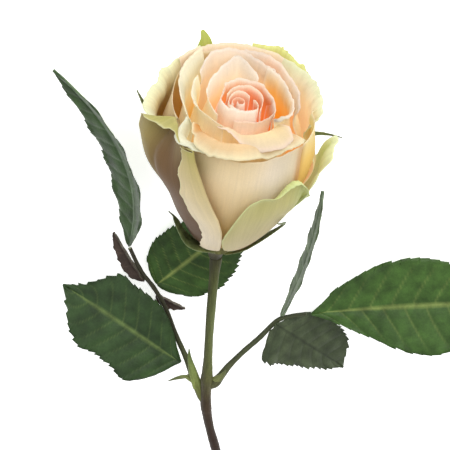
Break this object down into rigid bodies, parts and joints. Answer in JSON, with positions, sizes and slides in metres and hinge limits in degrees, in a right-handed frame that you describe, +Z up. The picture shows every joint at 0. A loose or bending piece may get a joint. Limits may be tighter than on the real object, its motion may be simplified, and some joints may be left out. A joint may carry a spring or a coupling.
{
  "type": "cut rose",
  "caption": "Cut rose lying down: a half-open peach and cream bloom with green guard petals on a slim stem with two serrated compound leaves.",
  "frame": {"origin": "middle of the footprint, at the level of the surface that the rose lies on", "axes": "+Y along the stem towards the bloom, +Z up from the surface that it lies on, +X to the right of the stem seen from above"},
  "size_m": [0.1828, 0.2791, 0.0687],
  "materials": {
    "heart_petals": "matte petal, salmon",
    "inner_petals": "matte petal, pink peach",
    "second_petals": "matte petal, peach",
    "third_petals": "matte petal, peach to cream",
    "outer_petals": "matte petal, cream and beige",
    "guard_petals": "matte petal, cream and olive green",
    "sepals": "matte leaf green",
    "leaflets": "satin dark green leaf",
    "dry_leaflets": "matte withered brown leaf",
    "receptacle": "satin green",
    "stem": "satin green and brown stem",
    "leaf_stalks": "satin green"
  },
  "bodies": {
    "root": {"heart_petal_1": "heart_petals", "heart_petal_2": "heart_petals", "heart_petal_3": "heart_petals", "heart_petal_4": "heart_petals", "inner_petal_1": "inner_petals", "inner_petal_2": "inner_petals", "inner_petal_3": "inner_petals", "second_petal_1": "second_petals", "second_petal_2": "second_petals", "second_petal_3": "second_petals", "second_petal_4": "second_petals", "third_petal_1": "third_petals", "third_petal_2": "third_petals", "third_petal_3": "third_petals", "third_petal_4": "third_petals", "third_petal_5": "third_petals", "outer_petal_1": "outer_petals", "outer_petal_2": "outer_petals", "outer_petal_3": "outer_petals", "outer_petal_4": "outer_petals", "outer_petal_5": "outer_petals", "guard_petal_1": "guard_petals", "guard_petal_2": "guard_petals", "guard_petal_3": "guard_petals", "guard_petal_4": "guard_petals", "guard_petal_5": "guard_petals", "guard_petal_6": "guard_petals", "sepal_1": "sepals", "sepal_2": "sepals", "sepal_3": "sepals", "sepal_4": "sepals", "sepal_5": "sepals", "left_leaflet_1": "leaflets", "left_leaflet_2": "leaflets", "left_leaflet_3": "dry_leaflets", "left_leaflet_4": "dry_leaflets", "left_leaflet_5": "leaflets", "right_leaflet_1": "leaflets", "right_leaflet_2": "leaflets", "right_leaflet_3": "leaflets", "receptacle": "receptacle", "stem": "stem", "left_leaf_stalk": "leaf_stalks", "right_leaf_stalk": "leaf_stalks"}
  },
  "joints": []
}
